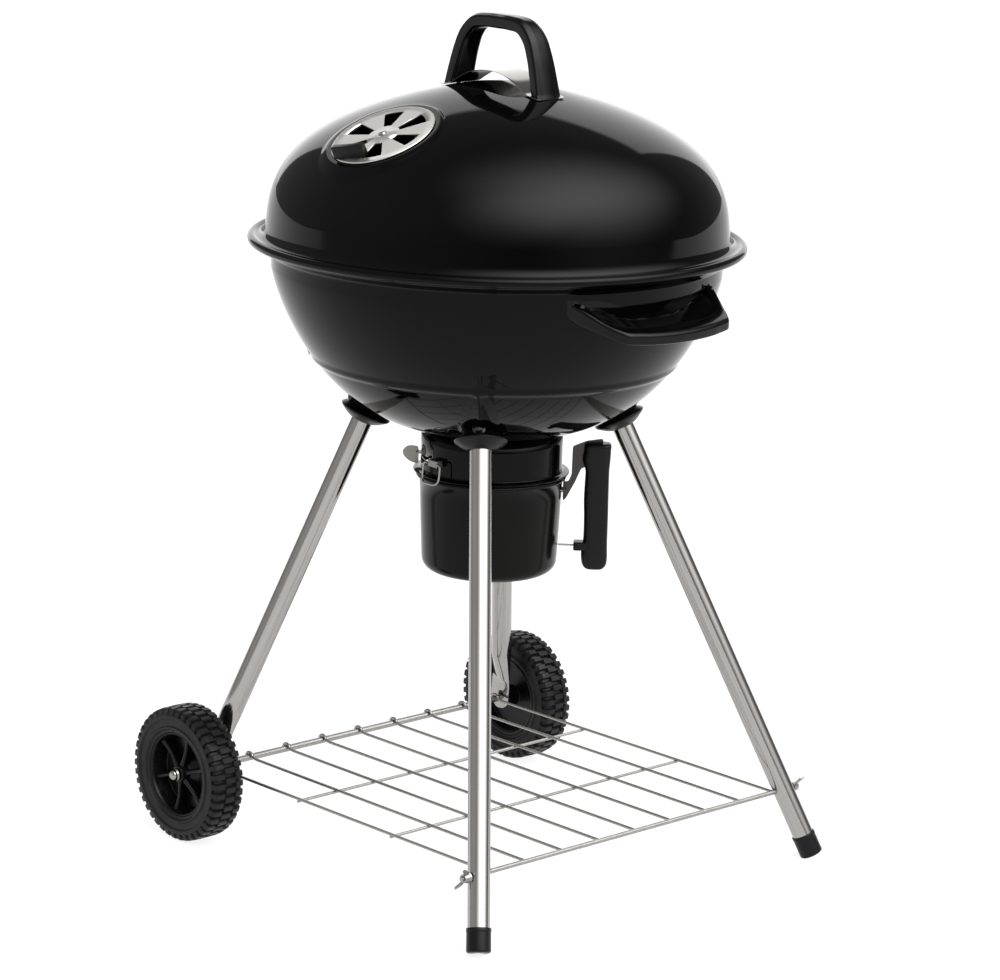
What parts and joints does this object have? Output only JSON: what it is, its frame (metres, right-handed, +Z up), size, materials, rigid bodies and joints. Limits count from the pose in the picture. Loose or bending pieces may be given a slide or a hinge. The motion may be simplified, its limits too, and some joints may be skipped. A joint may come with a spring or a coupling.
{
  "type": "kettle charcoal grill",
  "caption": "Kettle charcoal grill: domed enamel lid and bowl on splayed tube legs with wheels, a wire shelf and a pull-off ash bucket.",
  "frame": {"origin": "on the floor under the kettle's axis, which is also the middle of the whole object's box", "axes": "+Z up; the lid's vent faces -Y; the side handle and the capped legs are at +X and the wheels at -X"},
  "size_m": [0.61, 0.579, 0.977],
  "materials": {
    "black_enamel": "glossy vitreous enamel on pressed steel",
    "gloss_black_plastic": "polished moulded plastic",
    "matte_black_plastic": "satin moulded plastic",
    "tyre_plastic": "dull moulded plastic tread",
    "hub_plastic": "satin moulded plastic",
    "stainless_steel": "drawn and polished stainless steel",
    "zinc_wire": "bright zinc-plated wire",
    "grate_wire": "bright plated wire",
    "plated_steel": "zinc-plated pressed steel"
  },
  "bodies": {
    "kettle": {"bowl": "black_enamel", "side_handle": "gloss_black_plastic", "side_handle_screw_1": "plated_steel", "side_handle_screw_2": "plated_steel", "leg_socket_front": "matte_black_plastic", "leg_socket_back": "matte_black_plastic", "leg_socket_wheel_front": "matte_black_plastic", "leg_socket_wheel_back": "matte_black_plastic", "socket_bolt_front": "plated_steel", "socket_bolt_back": "plated_steel", "socket_bolt_wheel_front": "plated_steel", "socket_bolt_wheel_back": "plated_steel", "leg_front": "stainless_steel", "leg_back": "stainless_steel", "leg_wheel_front": "stainless_steel", "leg_wheel_back": "stainless_steel", "leg_cap_front": "matte_black_plastic", "leg_cap_back": "matte_black_plastic", "axle": "plated_steel", "axle_cap_front": "stainless_steel", "axle_cap_back": "stainless_steel", "wire_shelf": "zinc_wire", "wing_nut_front": "zinc_wire", "wing_nut_back": "zinc_wire", "ash_collar": "black_enamel", "clip_bracket_front": "plated_steel", "clip_bracket_back": "plated_steel", "grate_support_1": "plated_steel", "grate_support_2": "plated_steel", "grate_support_3": "plated_steel", "grate_support_4": "plated_steel"},
    "lid": {"lid": "black_enamel", "lid_handle": "gloss_black_plastic", "lid_heat_shield": "stainless_steel", "lid_handle_screw_1": "plated_steel", "lid_handle_screw_2": "plated_steel", "vent_rivet": "stainless_steel"},
    "vent": {"vent_damper": "stainless_steel", "damper_tab": "matte_black_plastic"},
    "wheel_front": {"tyre_front": "tyre_plastic", "wheel_hub_front": "hub_plastic"},
    "wheel_back": {"tyre_back": "tyre_plastic", "wheel_hub_back": "hub_plastic"},
    "bucket": {"ash_bucket": "black_enamel", "bucket_bracket": "plated_steel", "bucket_grip": "matte_black_plastic", "grip_link": "zinc_wire", "bracket_rivet_1": "plated_steel", "bracket_rivet_2": "plated_steel"},
    "clip_front": {"bucket_clip_front": "zinc_wire"},
    "clip_back": {"bucket_clip_back": "zinc_wire"},
    "sweeper": {"sweeper_blades": "plated_steel", "sweeper_shaft": "plated_steel", "sweeper_lever": "plated_steel", "sweeper_nut": "plated_steel"},
    "cooking_grate": {"cooking_grate": "grate_wire"},
    "charcoal_grate": {"charcoal_grate": "grate_wire"}
  },
  "joints": [
    {"name": "lid_lift", "type": "slide", "parent": "kettle", "child": "lid", "axis": [0, 0, 1], "range_m": [0, 0.3]},
    {"name": "vent_turn", "type": "hinge", "parent": "lid", "child": "vent", "pos_m": [0, -0.178, 0.85599], "axis": [0, -0.4386, 0.8987], "range_deg": [0, 30]},
    {"name": "wheel_front_spin", "type": "hinge", "parent": "kettle", "child": "wheel_front", "pos_m": [-0.225, -0.2635, 0.08], "axis": [0, 1, 0], "continuous": true},
    {"name": "wheel_back_spin", "type": "hinge", "parent": "kettle", "child": "wheel_back", "pos_m": [-0.225, 0.2635, 0.08], "axis": [0, 1, 0], "continuous": true},
    {"name": "bucket_slide", "type": "slide", "parent": "kettle", "child": "bucket", "axis": [0, 0, -1], "range_m": [0, 0.15]},
    {"name": "clip_front_swing", "type": "hinge", "parent": "kettle", "child": "clip_front", "pos_m": [0, -0.0925, 0.47], "axis": [-1, 0, 0], "range_deg": [0, 60]},
    {"name": "clip_back_swing", "type": "hinge", "parent": "kettle", "child": "clip_back", "pos_m": [0, 0.0925, 0.47], "axis": [1, 0, 0], "range_deg": [0, 60]},
    {"name": "sweeper_turn", "type": "hinge", "parent": "kettle", "child": "sweeper", "pos_m": [0, 0, 0.4985], "axis": [0, 0, 1], "range_deg": [-30, 15]},
    {"name": "cooking_grate_lift", "type": "slide", "parent": "kettle", "child": "cooking_grate", "axis": [0, 0, 1], "range_m": [0, 0.05]},
    {"name": "charcoal_grate_lift", "type": "slide", "parent": "kettle", "child": "charcoal_grate", "axis": [0, 0, 1], "range_m": [0, 0.08]}
  ]
}
